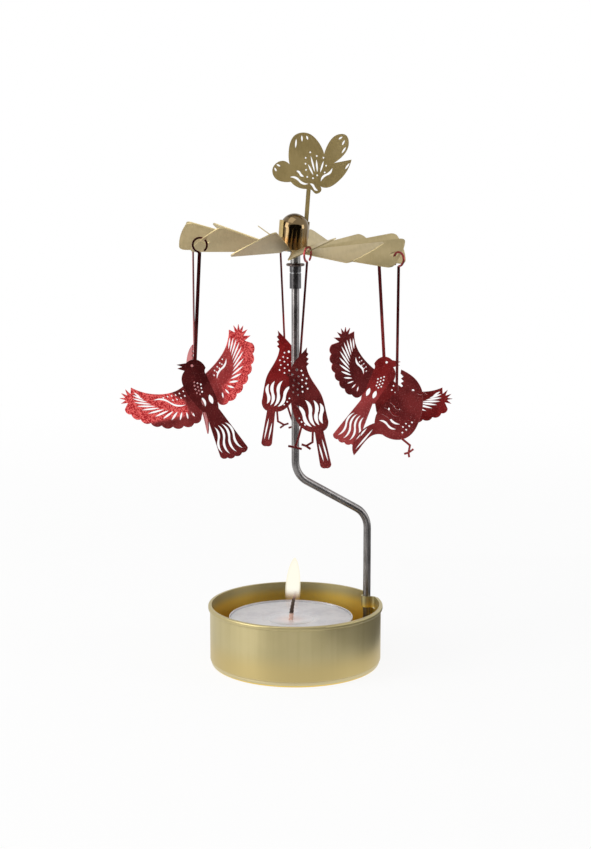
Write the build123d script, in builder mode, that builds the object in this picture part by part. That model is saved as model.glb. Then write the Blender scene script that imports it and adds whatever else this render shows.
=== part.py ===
from build123d import *
import math
import os

os.makedirs("parts", exist_ok=True)

# Lengths are in millimetres and angles in degrees.
# The origin lies on the table under the middle of the cup, +Z up.
# Azimuths turn from +X towards +Y, and the front of the object faces -Y.
# A share is a fraction of the named size that it goes with.

# Candle cup
cup_radius = 26.25
cup_height = 18.65
cup_wall = 0.5
cup_corner_radius = 1.2
foot_step_height = 1.6
foot_step_depth = 0.3
rim_bead_height = 1.35
rim_bead_depth = 0.55
rim_bead_rounding = 0.4
bead_end_angle = 1.0
dent_rounding = 1.7
slit_drop = 3.85
slit_gap = 0.4

# Bent support rod
rod_radius = 1.175
rod_azimuth = 22.6
rod_clearance = 0.05
rod_knee_height = 44.7
rod_neck_height = 58.8
rod_bend_radius = 7.5
rod_end_chamfer = 0.3
rod_foot_chamfer = 0.55

# Sleeve, stop washer and needle pin at the top of the rod
tip_height = 137.05
sleeve_radius = 1.725
sleeve_upper_radius = 1.5
sleeve_length = 6.65
sleeve_upper_length = 7.6
sleeve_overlap = 9.4
sleeve_groove_depth = 0.15
sleeve_groove_height = 0.35
sleeve_groove_drop = 1.9
stop_washer_radius = 2.75
stop_washer_thickness = 0.8
stop_washer_bevel = 0.25
shoulder_drop = 15.1
pin_radius = 0.5
pin_point_length = 2.2
fit_clearance = 0.02

# Tealight
tealight_radius = 19.0
tealight_height = 14.1
tealight_wall = 0.25
tealight_corner_radius = 0.8
tealight_offset = -1.4
wax_height = 13.3
wax_pool_radius = 9.0
wax_pool_depth = 0.5
wick_radius = 0.6
wick_rise = 4.8
wick_lean = 1.2
wick_bend_radius = 1.6
sustainer_radius = 6.5
sustainer_thickness = 0.3
sustainer_collar_height = 2.5
sustainer_collar_wall = 0.3

# Pitched rotor, which rests on the needle and leans a little to the right
rotor_lean = 4.3
rotor_sheet = 0.3
rotor_disc_radius = 5.2
rotor_disc_drop = 10.38
blade_count = 12
blade_first_azimuth = 9.6
blade_tip_radius = 33.7
blade_root_radius = 6.6
blade_gap_angle = 3.3
blade_corner_radius = 1.7
blade_pitch = 30.7
blade_rise = 4.1
# Each blade is bent by hand, so its pitch is a little off: a share of the pitch
blade_bend_shares = (0.10, -0.05, 0.0, 0.0, 0.0, 0.07, 0.09, 0.0, 0.0, -0.09, -0.20, 0.06)
# One blade is also bent up a little more than the others
raised_blade = 0
raised_blade_rise = 6.0

# Hub cap riveted through the disc
cap_radius = 4.25
cap_wall = 0.4
cap_point_clearance = 0.05
cap_neck_step = 0.65
cap_lip_radius = 3.95
cap_lip_thickness = 0.3

# Hooks of the hanging birds
pendant_count = 6
hook_hole_radius = 1.3
hook_strip = 0.7
hook_slip = 0.7
hook_offset = 0.9
ring_inner_radius = 1.75
ring_band = 0.55
ring_gap_angle = 38.0
ring_clearance = 0.06
bird_sheet = 0.35

# Hanging birds, all drawn to the scale of one wing span
wing_span = 40.0
wing_bend = 22.0
slot_width = 0.6
wide_slot_width = 1.0
thin_slot_width = 0.5
dot_radius = 0.32
dot_sides = 4
eye_radius = 0.38
leg_width = 0.6
feather_bulge_share = 0.24
feather_notch_share = 1.0
feather_slot_shares = (0.04, 0.62)
wave_share = 0.07

# The birds' stems, from the hook down to the point that the outlines are counted from
flying_stem_width = 1.0
flying_stem_length = 33.9
flying_stem_sink = 1.2
slim_stem_width = 0.6
slim_stem_length = 27.9
slim_back_stem_length = 29.7
slim_stem_sink = 3.0
round_stem_width = 0.8
round_stem_length = 33.5
round_stem_sink = 7.2

# Two of the birds are bent sideways a little against their stems
slim_back_lean = -5.0
flying_back_lean = 3.0

# The slim bird at the back is a little larger than the one at the front
slim_front_size_share = 0.98
slim_back_size_share = 1.08

# Each ring is turned by this much from the radial line through its hook
ring_turn_from_radius = 26.7
slim_ring_turn_from_radius = 34.0

# Blossom with its stem and the collar that clasps the hub cap
collar_first_azimuth = 15.0
collar_angle = 208.0
collar_height = 5.0
collar_drop = 6.8
collar_sheet = 0.3
blossom_width = 23.0
blossom_sheet = 0.35
blossom_setback = 2.0
blossom_stem_offset = 3.35
blossom_stem_width = 1.25
blossom_stem_foot = 3.0
blossom_height = 7.4
stamen_slot_width = 0.5
stamen_dot_radius = 0.3

# Sizes worked out from those above
foot_radius = cup_radius - foot_step_depth
slit_height = cup_height - slit_drop
rod_foot_radius = foot_radius - cup_wall - rod_radius - rod_clearance
rod_hole_radius = rod_radius + rod_clearance
dent_half_width = rod_hole_radius + dent_rounding
dent_half_angle = math.degrees(math.asin(dent_half_width / cup_radius))
shoulder_height = tip_height - shoulder_drop
rod_top_height = shoulder_height - sleeve_length + sleeve_overlap
blade_half_angle = 180 / blade_count - blade_gap_angle / 2
blades_per_pendant = blade_count // pendant_count
hook_hole_centre_x = (
    math.sqrt(blade_tip_radius**2 - hook_offset**2) - blade_root_radius - hook_strip - hook_hole_radius
)
cap_neck_radius = cap_radius - cap_neck_step
half_bird_sheet = bird_sheet / 2
ring_middle_radius = ring_inner_radius + ring_band / 2


def flat_direction(azimuth):
    """Horizontal unit vector at an azimuth."""
    return Vector(math.cos(math.radians(azimuth)), math.sin(math.radians(azimuth)), 0)


def upright_plane(azimuth, origin=(0, 0, 0)):
    """Vertical plane whose own X runs along an azimuth and whose own Y runs up."""
    return Plane(origin=origin, x_dir=flat_direction(azimuth), z_dir=flat_direction(azimuth - 90))


rod_foot = flat_direction(rod_azimuth) * rod_foot_radius
rod_plane = upright_plane(rod_azimuth)
tealight_origin = (tealight_offset, 0, cup_wall)
tealight_plane = upright_plane(0, tealight_origin)
rotor_frame = Plane(
    origin=(0, 0, tip_height),
    x_dir=(math.cos(math.radians(rotor_lean)), 0, -math.sin(math.radians(rotor_lean))),
    z_dir=(math.sin(math.radians(rotor_lean)), 0, math.cos(math.radians(rotor_lean))),
)
rotor_section = Plane(origin=rotor_frame.origin, x_dir=rotor_frame.x_dir, z_dir=-rotor_frame.y_dir)
disc_frame = rotor_frame.offset(-rotor_disc_drop)


# Candle cup: a drawn cup whose rim is cut and pressed inwards round the rod
with BuildPart() as candle_cup:
    with BuildSketch(Plane.XZ) as cup_profile:
        step_top = foot_step_height + foot_step_depth
        with BuildLine():
            Polyline(
                (0, 0),
                (foot_radius, 0),
                (foot_radius, foot_step_height),
                (cup_radius, step_top),
                (cup_radius, cup_height),
                (cup_radius - cup_wall, cup_height),
                (cup_radius - cup_wall, step_top),
                (foot_radius - cup_wall, foot_step_height),
                (foot_radius - cup_wall, cup_wall),
                (0, cup_wall),
                close=True,
            )
        make_face()
        outer_corner = cup_profile.vertices().sort_by_distance((foot_radius, 0))[0]
        fillet(outer_corner, cup_corner_radius)
        inner_corner = cup_profile.vertices().sort_by_distance((foot_radius - cup_wall, cup_wall))[0]
        fillet(inner_corner, cup_corner_radius - cup_wall)
    revolve(axis=Axis.Z)
    # The wall is taken away above the slit, as wide as the dent
    dent_mouth = flat_direction(rod_azimuth) * cup_radius
    dent_depth = cup_radius - rod_foot_radius + rod_hole_radius + 2 * cup_wall
    with BuildSketch(Plane.XY.offset(slit_height)):
        with Locations(dent_mouth):
            Rectangle(2 * dent_depth, 2 * dent_half_width, rotation=rod_azimuth)
    extrude(amount=slit_drop, mode=Mode.SUBTRACT)
    # In its place the band runs round the inner side of the rod, above the open slit
    with BuildSketch(Plane.XY.offset(slit_height + slit_gap)) as dent_band:
        Circle(cup_radius)
        with Locations(rod_foot):
            Circle(rod_hole_radius, mode=Mode.SUBTRACT)
            Rectangle(
                cup_radius,
                2 * rod_hole_radius,
                rotation=rod_azimuth,
                align=(Align.MIN, Align.CENTER),
                mode=Mode.SUBTRACT,
            )
        fillet(dent_band.vertices().sort_by_distance(dent_mouth)[:2], dent_rounding)
        offset(amount=-cup_wall, mode=Mode.SUBTRACT)
        with Locations(dent_mouth):
            Rectangle(2 * dent_depth, 2 * dent_half_width, rotation=rod_azimuth, mode=Mode.INTERSECT)
    extrude(amount=slit_drop - slit_gap)
    # The rolled rim stops short of the dent at both sides
    bead_gap_angle = dent_half_angle + bead_end_angle
    with BuildSketch(upright_plane(rod_azimuth + bead_gap_angle)) as bead_profile:
        with Locations((cup_radius - cup_wall / 2, cup_height)):
            Rectangle(cup_wall / 2 + rim_bead_depth, rim_bead_height, align=(Align.MIN, Align.MAX))
        fillet(bead_profile.vertices().group_by(Axis.X)[-1], rim_bead_rounding)
    revolve(axis=Axis.Z, revolution_arc=360 - 2 * bead_gap_angle)
candle_cup.part.label = "candle_cup"
export_step(candle_cup.part, "parts/candle_cup.step")

# Support rod: one wire bent twice, from the cup's floor to the middle of the rotor
with BuildPart() as support_rod:
    with BuildLine(rod_plane) as rod_path:
        FilletPolyline(
            (rod_foot_radius, cup_wall),
            (rod_foot_radius, rod_knee_height),
            (0, rod_neck_height),
            (0, rod_top_height),
            radius=rod_bend_radius,
        )
    with BuildSketch(Plane(origin=rod_path.line @ 0, z_dir=rod_path.line % 0)):
        Circle(rod_radius)
    sweep()
    chamfer(support_rod.edges().group_by(Axis.Z)[-1], rod_end_chamfer)
    chamfer(support_rod.edges().group_by(Axis.Z)[0], rod_foot_chamfer)
support_rod.part.label = "support_rod"
export_step(support_rod.part, "parts/support_rod.step")

# Sleeve pressed over the rod's end, with a shoulder for the washer and a bore for the pin
with BuildPart() as rod_sleeve:
    with BuildSketch(Plane.XZ):
        with Locations((0, shoulder_height)):
            Rectangle(sleeve_radius, sleeve_length, align=(Align.MIN, Align.MAX))
            Rectangle(sleeve_upper_radius, sleeve_upper_length, align=(Align.MIN, Align.MIN))
        with Locations((sleeve_radius, shoulder_height - sleeve_groove_drop)):
            Rectangle(2 * sleeve_groove_depth, sleeve_groove_height, mode=Mode.SUBTRACT)
        with Locations((0, rod_top_height)):
            Rectangle(
                rod_radius + fit_clearance,
                sleeve_overlap,
                align=(Align.MIN, Align.MAX),
                mode=Mode.SUBTRACT,
            )
            Rectangle(
                pin_radius + fit_clearance,
                sleeve_length + sleeve_upper_length,
                align=(Align.MIN, Align.MIN),
                mode=Mode.SUBTRACT,
            )
    revolve(axis=Axis.Z)
rod_sleeve.part.label = "rod_sleeve"
export_step(rod_sleeve.part, "parts/rod_sleeve.step")

# Stop washer on the sleeve's shoulder, under the rotor
with BuildPart() as stop_washer:
    with BuildSketch(Plane.XY.offset(shoulder_height)):
        Circle(stop_washer_radius)
        Circle(sleeve_upper_radius + fit_clearance, mode=Mode.SUBTRACT)
    extrude(amount=stop_washer_thickness)
    washer_rims = stop_washer.edges().filter_by(GeomType.CIRCLE).sort_by(SortBy.RADIUS)[-2:]
    chamfer(washer_rims, stop_washer_bevel)
stop_washer.part.label = "stop_washer"
export_step(stop_washer.part, "parts/stop_washer.step")

# Needle pin, whose point carries the hub cap
with BuildPart() as needle_pin:
    with BuildSketch(Plane.XZ):
        with BuildLine():
            Polyline(
                (0, rod_top_height),
                (pin_radius, rod_top_height),
                (pin_radius, tip_height - pin_point_length),
                (0, tip_height),
                close=True,
            )
        make_face()
    revolve(axis=Axis.Z)
needle_pin.part.label = "needle_pin"
export_step(needle_pin.part, "parts/needle_pin.step")

# Tealight cup, loose on the floor of the candle cup
with BuildPart() as tealight_cup:
    with BuildSketch(tealight_plane) as tealight_profile:
        Rectangle(tealight_radius, tealight_height, align=(Align.MIN, Align.MIN))
        with Locations((0, tealight_wall)):
            Rectangle(
                tealight_radius - tealight_wall,
                tealight_height,
                align=(Align.MIN, Align.MIN),
                mode=Mode.SUBTRACT,
            )
        outer_corner = tealight_profile.vertices().sort_by_distance((tealight_radius, 0))[0]
        fillet(outer_corner, tealight_corner_radius)
        inner_corner = tealight_profile.vertices().sort_by_distance(
            (tealight_radius - tealight_wall, tealight_wall)
        )[0]
        fillet(inner_corner, tealight_corner_radius - tealight_wall)
    revolve(axis=Axis((tealight_offset, 0, 0), (0, 0, 1)))
tealight_cup.part.label = "tealight_cup"
export_step(tealight_cup.part, "parts/tealight_cup.step")

# Wax with a melted pool round the wick and a pocket for the sustainer below
with BuildPart() as wax:
    wax_radius = tealight_radius - tealight_wall - fit_clearance
    with BuildSketch(tealight_plane) as wax_profile:
        with Locations((0, tealight_wall)):
            Rectangle(wax_radius, wax_height, align=(Align.MIN, Align.MIN))
        lower_corner = wax_profile.vertices().sort_by_distance((wax_radius, tealight_wall))[0]
        fillet(lower_corner, tealight_corner_radius)
        with BuildLine():
            pool_edge = (wax_pool_radius, tealight_wall + wax_height)
            pool_middle = (wax_pool_radius / 2, tealight_wall + wax_height - wax_pool_depth)
            pool_floor = (0, tealight_wall + wax_height - wax_pool_depth)
            Spline(pool_edge, pool_middle, pool_floor)
            Polyline(pool_floor, (0, tealight_wall + wax_height), pool_edge)
        make_face(mode=Mode.SUBTRACT)
        with Locations((0, tealight_wall)):
            Rectangle(
                wick_radius + fit_clearance,
                wax_height,
                align=(Align.MIN, Align.MIN),
                mode=Mode.SUBTRACT,
            )
            Rectangle(
                sustainer_radius + fit_clearance,
                sustainer_thickness + fit_clearance,
                align=(Align.MIN, Align.MIN),
                mode=Mode.SUBTRACT,
            )
            Rectangle(
                wick_radius + sustainer_collar_wall + 2 * fit_clearance,
                sustainer_collar_height + fit_clearance,
                align=(Align.MIN, Align.MIN),
                mode=Mode.SUBTRACT,
            )
    revolve(axis=Axis((tealight_offset, 0, 0), (0, 0, 1)))
wax.part.label = "wax"
export_step(wax.part, "parts/wax.step")

# Wick sustainer: a small tin disc with a crimped collar, hidden in the wax
with BuildPart() as wick_sustainer:
    with BuildSketch(tealight_plane):
        with Locations((0, tealight_wall)):
            Rectangle(sustainer_radius, sustainer_thickness, align=(Align.MIN, Align.MIN))
            Rectangle(
                wick_radius + fit_clearance + sustainer_collar_wall,
                sustainer_collar_height,
                align=(Align.MIN, Align.MIN),
            )
            Rectangle(
                wick_radius + fit_clearance,
                sustainer_collar_height,
                align=(Align.MIN, Align.MIN),
                mode=Mode.SUBTRACT,
            )
    revolve(axis=Axis((tealight_offset, 0, 0), (0, 0, 1)))
wick_sustainer.part.label = "wick_sustainer"
export_step(wick_sustainer.part, "parts/wick_sustainer.step")

# Wick: straight through the wax, its burnt end curled to the right
with BuildPart() as wick:
    with BuildLine(tealight_plane) as wick_path:
        wick_knee = tealight_wall + wax_height + wick_rise / 2
        FilletPolyline(
            (0, tealight_wall),
            (0, wick_knee),
            (wick_lean, wick_knee + wick_rise / 2),
            radius=wick_bend_radius,
        )
    with BuildSketch(Plane(origin=wick_path.line @ 0, z_dir=wick_path.line % 0)):
        Circle(wick_radius)
    sweep()
wick.part.label = "wick"
export_step(wick.part, "parts/wick.step")


def blade_location(index):
    """Frame of one blade: X out along its middle line, Y across it, Z square to the sheet."""
    azimuth = blade_first_azimuth + index * 360 / blade_count
    pitch = blade_pitch * (1 + blade_bend_shares[index % len(blade_bend_shares)])
    return (
        disc_frame.location
        * Rotation(0, 0, azimuth)
        * Location((blade_root_radius, 0, 0))
        * Rotation(0, -raised_blade_rise if index == raised_blade else -blade_rise, 0)
        * Rotation(pitch, 0, 0)
    )


def has_hook(index):
    """Every second blade has a hook hole."""
    return index % blades_per_pendant == blades_per_pendant - 1


# Rotor: one sheet cut into a disc and twelve blades, each twisted at its neck
blade_root_width = 2 * blade_root_radius * math.tan(math.radians(blade_half_angle))
neck_width = blade_root_width * rotor_disc_radius / blade_root_radius
with BuildPart() as blade_rotor:
    with BuildSketch(disc_frame):
        flat_turn = blade_first_azimuth - 180 / blade_count
        RegularPolygon(rotor_disc_radius, blade_count, major_radius=False, rotation=flat_turn)
        Circle(cap_neck_radius + fit_clearance, mode=Mode.SUBTRACT)
    extrude(amount=rotor_sheet / 2, both=True)
    for index in range(blade_count):
        frame = blade_location(index)
        azimuth = blade_first_azimuth + index * 360 / blade_count
        disc_edge = disc_frame.location * Rotation(0, 0, azimuth) * Location((rotor_disc_radius, 0, 0))
        # Neck: from the flat side of the disc to the pitched root of the blade
        with BuildSketch(Plane(disc_edge * Rotation(0, 90, 0))):
            Rectangle(rotor_sheet, neck_width)
        with BuildSketch(Plane(frame * Rotation(0, 90, 0))):
            Rectangle(rotor_sheet, blade_root_width)
        loft(ruled=True)
        # Blade: a sector of the sheet with rounded tip corners
        with BuildSketch(Plane(frame)) as blade_outline:
            tip_half_angle = math.radians(blade_half_angle)
            tip_x = blade_tip_radius * math.cos(tip_half_angle) - blade_root_radius
            tip_y = blade_tip_radius * math.sin(tip_half_angle)
            with BuildLine():
                Polyline(
                    (tip_x, -tip_y),
                    (0, -blade_root_width / 2),
                    (0, blade_root_width / 2),
                    (tip_x, tip_y),
                )
                ThreePointArc((tip_x, tip_y), (blade_tip_radius - blade_root_radius, 0), (tip_x, -tip_y))
            make_face()
            fillet(blade_outline.vertices().group_by(Axis.X)[-1], blade_corner_radius)
            if has_hook(index):
                with Locations((hook_hole_centre_x, -hook_offset)):
                    Circle(hook_hole_radius, mode=Mode.SUBTRACT)
        extrude(amount=rotor_sheet / 2, both=True)
blade_rotor.part.label = "blade_rotor"
export_step(blade_rotor.part, "parts/blade_rotor.step")

# Hub cap: a drawn dome that rests on the needle, its neck riveted through the disc
dome_height = cap_point_clearance - (cap_radius - cap_wall)
with BuildPart() as hub_cap:
    with BuildSketch(rotor_section):
        disc_top = rotor_sheet / 2 - rotor_disc_drop
        disc_bottom = disc_top - rotor_sheet
        lip_bottom = disc_bottom - cap_lip_thickness
        neck_bore = cap_neck_radius - cap_wall
        inner_radius = cap_radius - cap_wall
        with BuildLine():
            RadiusArc((0, dome_height + cap_radius), (cap_radius, dome_height), cap_radius)
            Polyline(
                (cap_radius, dome_height),
                (cap_radius, disc_top),
                (cap_neck_radius, disc_top),
                (cap_neck_radius, disc_bottom),
                (cap_lip_radius, disc_bottom),
                (cap_lip_radius, lip_bottom),
                (neck_bore, lip_bottom),
                (neck_bore, disc_top + cap_wall),
                (inner_radius, disc_top + cap_wall),
                (inner_radius, dome_height),
            )
            RadiusArc((inner_radius, dome_height), (0, dome_height + inner_radius), -inner_radius)
            Line((0, dome_height + inner_radius), (0, dome_height + cap_radius))
        make_face()
    revolve(axis=Axis(rotor_frame.origin, rotor_frame.z_dir))
hub_cap.part.label = "hub_cap"
export_step(hub_cap.part, "parts/hub_cap.step")


def sized(shares, size, origin_share=(0, 0)):
    """Points of an outline: shares times a size, counted from an origin."""
    return [((x - origin_share[0]) * size, (y - origin_share[1]) * size) for x, y in shares]


def feather_notch(start, end):
    """Bottom of the notch between two pointed feather tips, on the right of the way from start to end."""
    run = Vector(*end) - Vector(*start)
    middle = (Vector(*start) + Vector(*end)) / 2
    return middle + Vector(run.Y, -run.X) * feather_notch_share


def outline(runs, size, origin_share=(0, 0)):
    """Closed face from runs of points: curves, lines, or feathers with round or pointed tips."""
    with BuildLine() as border:
        for kind, shares in runs:
            points = sized(shares, size, origin_share)
            if kind == "curve":
                Spline(*points)
            elif kind == "line":
                Polyline(*points)
            elif kind == "scallops":
                for start, end in zip(points, points[1:]):
                    chord = math.dist(start, end)
                    SagittaArc(start, end, feather_bulge_share * chord)
            else:
                for start, end in zip(points, points[1:]):
                    Polyline(start, feather_notch(start, end), end)
    make_face(border.edges())


def leaf_slot(start, end, width):
    """Opening between two arcs that meet in a point at both ends."""
    with BuildLine() as border:
        SagittaArc(start, end, width / 2)
        SagittaArc(end, start, width / 2)
    make_face(border.edges(), mode=Mode.SUBTRACT)


def wavy_slot(start, end, width):
    """Opening like a leaf, but bent one way and then the other."""
    run = Vector(*end) - Vector(*start)
    across = Vector(-run.Y, run.X).normalized() * (width / 2)
    middle = (Vector(*start) + Vector(*end)) / 2
    wave = wave_share * run.length
    with BuildLine() as border:
        SagittaArc(start, middle + across, wave + width / 4)
        SagittaArc(middle + across, end, -wave + width / 4)
        SagittaArc(end, middle - across, wave + width / 4)
        SagittaArc(middle - across, start, -wave + width / 4)
    make_face(border.edges(), mode=Mode.SUBTRACT)


def cut_slots(slots, size, width, make_slot, origin_share=(0, 0)):
    """A row of slots given by their two ends."""
    for ends in slots:
        start, end = sized(ends, size, origin_share)
        make_slot(start, end, width)


def cut_dots(centre_shares, size, radius, origin_share=(0, 0)):
    """A group of small square holes, each standing on a corner."""
    with Locations(*sized(centre_shares, size, origin_share)):
        RegularPolygon(radius, dot_sides, mode=Mode.SUBTRACT)


def cut_eye(centre_share, size):
    """The round hole of an eye."""
    with Locations(*sized((centre_share,), size)):
        Circle(eye_radius, mode=Mode.SUBTRACT)


def feather_slots(tips, coverts):
    """Slot ends, as shares, that fan from a curved row of coverts to the feather tips."""
    count = len(tips) - 1
    slots = []
    for index in range(count):
        share = (index + 0.5) / count
        weights = ((1 - share) * (1 - 2 * share), 4 * share * (1 - share), share * (2 * share - 1))
        base = sum((Vector(*point) * weight for point, weight in zip(coverts, weights)), Vector(0, 0))
        tip = (Vector(*tips[index]) + Vector(*tips[index + 1])) / 2
        start = base + (tip - base) * feather_slot_shares[0]
        end = base + (tip - base) * feather_slot_shares[1]
        slots.append(((start.X, start.Y), (end.X, end.Y)))
    return slots


# Flying bird, seen from below and behind with both wings spread
flying_body_shares = (
    ("curve", ((-0.065, -0.018), (-0.035, 0.004), (0.0, 0.012), (0.045, -0.005), (0.078, -0.045))),
    ("curve", ((0.078, -0.045), (0.072, -0.070), (0.085, -0.100), (0.140, -0.205), (0.182, -0.315))),
    ("line", ((0.182, -0.315), (0.185, -0.360), (0.075, -0.365))),
    ("curve", ((0.075, -0.365), (0.005, -0.300), (-0.055, -0.220), (-0.090, -0.140), (-0.072, -0.074))),
    ("line", ((-0.072, -0.074), (-0.125, -0.060), (-0.090, -0.045), (-0.132, -0.032), (-0.065, -0.018))),
)
flying_tail_tip_shares = (
    (0.406, -0.604),
    (0.366, -0.646),
    (0.318, -0.671),
    (0.264, -0.686),
    (0.210, -0.680),
)
flying_tail_shares = (
    ("line", (flying_tail_tip_shares[-1], (0.080, -0.335), (0.175, -0.320), flying_tail_tip_shares[0])),
    ("scallops", flying_tail_tip_shares),
)
flying_tail_slot_shares = (
    ((0.160, -0.470), (0.226, -0.652)),
    ((0.184, -0.454), (0.280, -0.657)),
    ((0.210, -0.444), (0.328, -0.640)),
    ((0.232, -0.432), (0.370, -0.612)),
)
flying_dot_shares = (
    (0.000, -0.150), (0.024, -0.158), (0.048, -0.166),
    (0.004, -0.176), (0.028, -0.184), (0.052, -0.192),
    (0.012, -0.202), (0.036, -0.210), (0.060, -0.218),
    (0.022, -0.228), (0.046, -0.236),
)
flying_rump_slot_shares = (((0.062, -0.260), (0.088, -0.322)), ((0.112, -0.236), (0.140, -0.302)))
flying_eye_share = (-0.020, -0.034)
right_wing_root_shares = ((0.080, -0.085), (0.150, -0.260))
right_wing_spike_shares = (
    (0.262, 0.238), (0.298, 0.270), (0.336, 0.281), (0.374, 0.273), (0.408, 0.248), (0.434, 0.204),
    (0.446, 0.150),
)
right_wing_scallop_shares = (
    (0.446, 0.150), (0.450, 0.072), (0.438, -0.008), (0.412, -0.084), (0.374, -0.156), (0.326, -0.222),
    (0.264, -0.276), (0.190, -0.300),
)
right_wing_shares = (
    ("curve", (right_wing_root_shares[0], (0.160, -0.006), (0.230, 0.096), right_wing_spike_shares[0])),
    ("spikes", right_wing_spike_shares),
    ("scallops", right_wing_scallop_shares),
    ("line", (right_wing_scallop_shares[-1], right_wing_root_shares[1], right_wing_root_shares[0])),
)
right_wing_tip_shares = right_wing_spike_shares + right_wing_scallop_shares[1:]
right_wing_covert_shares = ((0.250, 0.098), (0.282, -0.072), (0.200, -0.222))
right_wing_arch_shares = ((0.170, -0.128), (0.240, 0.036))
right_wing_dot_shares = (
    (0.150, -0.062), (0.170, -0.034), (0.190, -0.006), (0.210, 0.022), (0.146, -0.096), (0.166, -0.072),
    (0.187, -0.044), (0.207, -0.014),
)
left_wing_root_shares = ((-0.065, -0.170), (0.072, -0.358))
left_wing_scallop_shares = (
    (0.062, -0.408), (0.010, -0.454), (-0.066, -0.482), (-0.148, -0.496), (-0.232, -0.496),
    (-0.314, -0.486), (-0.390, -0.466), (-0.460, -0.436), (-0.510, -0.400),
)
left_wing_spike_shares = (
    (-0.510, -0.400), (-0.540, -0.362), (-0.550, -0.322), (-0.538, -0.284), (-0.508, -0.252),
    (-0.466, -0.234),
)
left_wing_shares = (
    ("curve", (
        left_wing_root_shares[0], (-0.160, -0.240), (-0.275, -0.266), (-0.385, -0.260),
        left_wing_spike_shares[-1],
    )),
    ("spikes", left_wing_spike_shares),
    ("scallops", left_wing_scallop_shares),
    ("line", (left_wing_scallop_shares[0], left_wing_root_shares[1], left_wing_root_shares[0])),
)
left_wing_tip_shares = left_wing_scallop_shares + left_wing_spike_shares[1:]
left_wing_covert_shares = ((-0.004, -0.360), (-0.204, -0.368), (-0.404, -0.296))
left_wing_arch_shares = ((-0.052, -0.318), (-0.300, -0.316))
left_wing_dot_shares = (
    (-0.076, -0.222), (-0.104, -0.242), (-0.132, -0.256), (-0.162, -0.266), (-0.192, -0.274),
    (-0.064, -0.256), (-0.092, -0.274), (-0.122, -0.288), (-0.152, -0.296), (-0.224, -0.286),
)

# Slim perched bird, looking left
slim_outline_shares = (
    ("curve", ((0.044, 0.036), (0.010, -0.010), (-0.026, -0.058), (-0.054, -0.108), (-0.064, -0.155))),
    ("line", ((-0.064, -0.155), (-0.096, -0.172), (-0.066, -0.188))),
    ("curve", (
        (-0.066, -0.188), (-0.063, -0.262), (-0.049, -0.345), (-0.026, -0.432), (0.016, -0.510),
        (0.076, -0.558), (0.145, -0.566),
    )),
    ("line", ((0.145, -0.566), (0.201, -0.800))),
    ("scallops", ((0.282, -0.788), (0.244, -0.818), (0.201, -0.800))),
    ("line", ((0.282, -0.788), (0.206, -0.552))),
    ("curve", ((0.206, -0.552), (0.226, -0.534), (0.237, -0.505), (0.230, -0.460))),
    ("curve", ((0.230, -0.460), (0.202, -0.368), (0.170, -0.290), (0.119, -0.222), (0.050, -0.100))),
    ("line", (
        (0.050, -0.100), (0.066, -0.078), (0.048, -0.068), (0.062, -0.044), (0.044, -0.034),
        (0.058, -0.010), (0.044, 0.002), (0.044, 0.036),
    )),
)
slim_wing_slot_shares = (
    ((0.164, -0.352), (0.200, -0.500)),
    ((0.116, -0.336), (0.176, -0.514)),
    ((0.056, -0.340), (0.150, -0.524)),
    ((-0.004, -0.386), (0.122, -0.530)),
)
slim_tail_slot_shares = (((0.198, -0.604), (0.258, -0.770)), ((0.179, -0.644), (0.226, -0.776)))
slim_dot_shares = (
    (0.016, -0.134), (0.030, -0.164), (-0.002, -0.176), (0.058, -0.186), (0.026, -0.200), (-0.030, -0.206),
    (0.056, -0.222), (0.002, -0.226), (-0.034, -0.246), (0.030, -0.248), (0.070, -0.258), (-0.002, -0.270),
    (0.036, -0.284), (-0.030, -0.294), (0.006, -0.310), (0.024, -0.478), (0.044, -0.502), (0.070, -0.520),
)
slim_eye_share = (-0.018, -0.130)
slim_beak_slot_shares = (((-0.070, -0.172), (-0.034, -0.165)),)
slim_leg_shares = (
    ((0.046, -0.535), (0.030, -0.620), (0.012, -0.690)),
    ((0.130, -0.558), (0.134, -0.640), (0.090, -0.672)),
)
slim_toe_shares = (
    ((-0.040, -0.686), (0.012, -0.690), (0.060, -0.698)),
    ((0.056, -0.664), (0.090, -0.672), (0.124, -0.692)),
)

# Round perched bird, looking right over its breast
round_outline_shares = (
    ("curve", ((0.030, 0.014), (0.078, -0.010), (0.136, -0.054), (0.174, -0.108), (0.188, -0.145))),
    ("line", ((0.188, -0.145), (0.224, -0.166), (0.190, -0.184))),
    ("curve", (
        (0.190, -0.184), (0.192, -0.262), (0.172, -0.350), (0.130, -0.442), (0.065, -0.496),
        (-0.015, -0.506), (-0.100, -0.472),
    )),
    ("curve", ((-0.100, -0.472), (-0.180, -0.484), (-0.250, -0.556), (-0.310, -0.634))),
    ("curve", ((-0.310, -0.634), (-0.322, -0.560), (-0.288, -0.482), (-0.160, -0.388))),
    ("curve", ((-0.160, -0.388), (-0.138, -0.302), (-0.080, -0.228), (-0.012, -0.165), (0.045, -0.106))),
    ("line", (
        (0.045, -0.106), (0.028, -0.086), (0.050, -0.072), (0.030, -0.052), (0.048, -0.038),
        (0.026, -0.016), (0.030, 0.014),
    )),
)
round_wing_slot_shares = (
    ((-0.050, -0.232), (0.030, -0.282)),
    ((-0.092, -0.270), (0.020, -0.330)),
    ((-0.118, -0.318), (0.030, -0.390)),
    ((-0.128, -0.368), (0.000, -0.428)),
)
round_tail_slot_shares = (((-0.170, -0.432), (-0.300, -0.590)), ((-0.215, -0.425), (-0.302, -0.525)))
round_dot_shares = (
    (0.112, -0.330), (0.136, -0.348), (0.092, -0.356), (0.116, -0.374), (0.072, -0.384), (0.096, -0.402),
    (0.050, -0.410), (0.074, -0.430), (0.046, -0.452),
)
round_eye_share = (0.120, -0.138)
round_beak_slot_shares = (((0.190, -0.166), (0.152, -0.158)),)
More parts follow.
